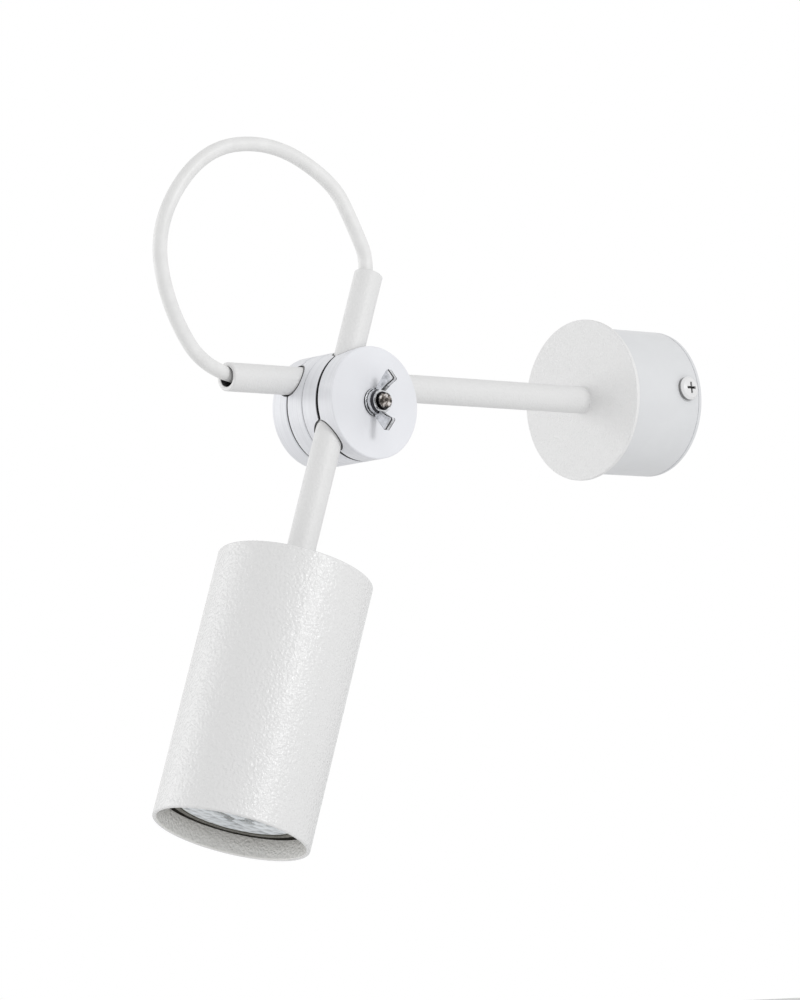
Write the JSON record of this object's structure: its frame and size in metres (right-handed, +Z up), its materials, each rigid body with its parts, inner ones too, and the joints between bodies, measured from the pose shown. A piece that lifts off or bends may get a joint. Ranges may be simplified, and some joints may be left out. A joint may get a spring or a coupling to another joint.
{
  "type": "wall light",
  "caption": "Wall spotlight: a round canopy carries a straight arm, and a clamp of round discs with a wing nut holds the stem of a cylindrical shade, with a loose loop of cable.",
  "frame": {"origin": "centre of the wall plate's back face, on the wall", "axes": "+Y into the wall, +Z up, +X to the right for somebody facing the wall; the arm runs out along -Y"},
  "size_m": [0.0799, 0.2722, 0.2738],
  "materials": {
    "white_paint": "smooth satin powder coat",
    "textured_white": "fine wrinkle powder coat",
    "white_cable": "smooth",
    "zinc": "satin zinc",
    "steel": "satin",
    "dark_steel": "plain",
    "white_plastic": "gloss",
    "ceramic": "glazed",
    "core_insulation": "matt",
    "reflector": "clear over mirror coat",
    "lens_glass": "clear"
  },
  "bodies": {
    "base": {"wall_plate": "steel", "canopy_cup": "white_paint", "front_plate": "textured_white", "cup_screws": "white_paint", "arm_tube": "white_paint", "arm_lock_washer": "zinc", "arm_lock_nut": "zinc", "terminal_block": "white_plastic", "terminal_screws": "zinc", "block_screw": "zinc", "earth_screw": "zinc", "arm_leads": "core_insulation", "arm_cable": "white_cable", "arm_cable_grip": "white_plastic"},
    "arm_clamp": {"arm_clamp_rear": "white_paint", "arm_clamp_front": "white_paint", "pivot_bolt": "dark_steel", "cable_loop": "white_cable"},
    "head_clamp": {"head_clamp_rear": "white_paint", "head_clamp_front": "white_paint", "cable_tail": "white_cable"},
    "nut_washer": {"nut_washer": "zinc"},
    "wing_nut": {"wing_nut": "zinc"},
    "spot": {"stem_tube": "white_paint", "stem_lock_washer": "zinc", "stem_lock_nut": "zinc", "stem_cable": "white_cable", "stem_cable_grip": "white_plastic", "lamp_leads": "core_insulation", "shade": "textured_white", "holder_hanger": "steel", "lamp_holder": "ceramic", "holder_screws": "zinc"},
    "lamp": {"lamp_body": "reflector", "lamp_lens": "lens_glass", "lamp_pins": "zinc"}
  },
  "joints": [
    {"name": "arm_swivel", "type": "hinge", "parent": "base", "child": "arm_clamp", "pos_m": [0, -0.1725, 0], "axis": [0, -1, 0], "range_deg": [-90, 90], "deforming": ["cable_loop"]},
    {"name": "head_tilt", "type": "hinge", "parent": "arm_clamp", "child": "head_clamp", "pos_m": [0, -0.1725, -0.01065], "axis": [-1, 0, 0], "range_deg": [-60, 50], "deforming": ["cable_loop", "cable_tail"]},
    {"name": "stem_slide", "type": "slide", "parent": "head_clamp", "child": "spot", "axis": [0, -0.3502, -0.9367], "range_m": [-0.015, 0.025], "deforming": ["cable_tail"]},
    {"name": "nut_travel", "type": "slide", "parent": "arm_clamp", "child": "nut_washer", "axis": [1, 0, 0], "range_m": [0, 0.002]},
    {"name": "wing_nut_turn", "type": "hinge", "parent": "nut_washer", "child": "wing_nut", "pos_m": [0.0291, -0.1725, -0.01065], "axis": [1, 0, 0], "range_deg": [0, 721]},
    {"name": "lamp_twist", "type": "hinge", "parent": "spot", "child": "lamp", "pos_m": [0.0176, -0.18262, -0.00687], "axis": [0, -0.3502, -0.9367], "range_deg": [0, 25]}
  ],
  "couplings": [
    {"joint": "wing_nut_turn", "follows": "nut_travel", "rad_per_m": 6283.2}
  ]
}
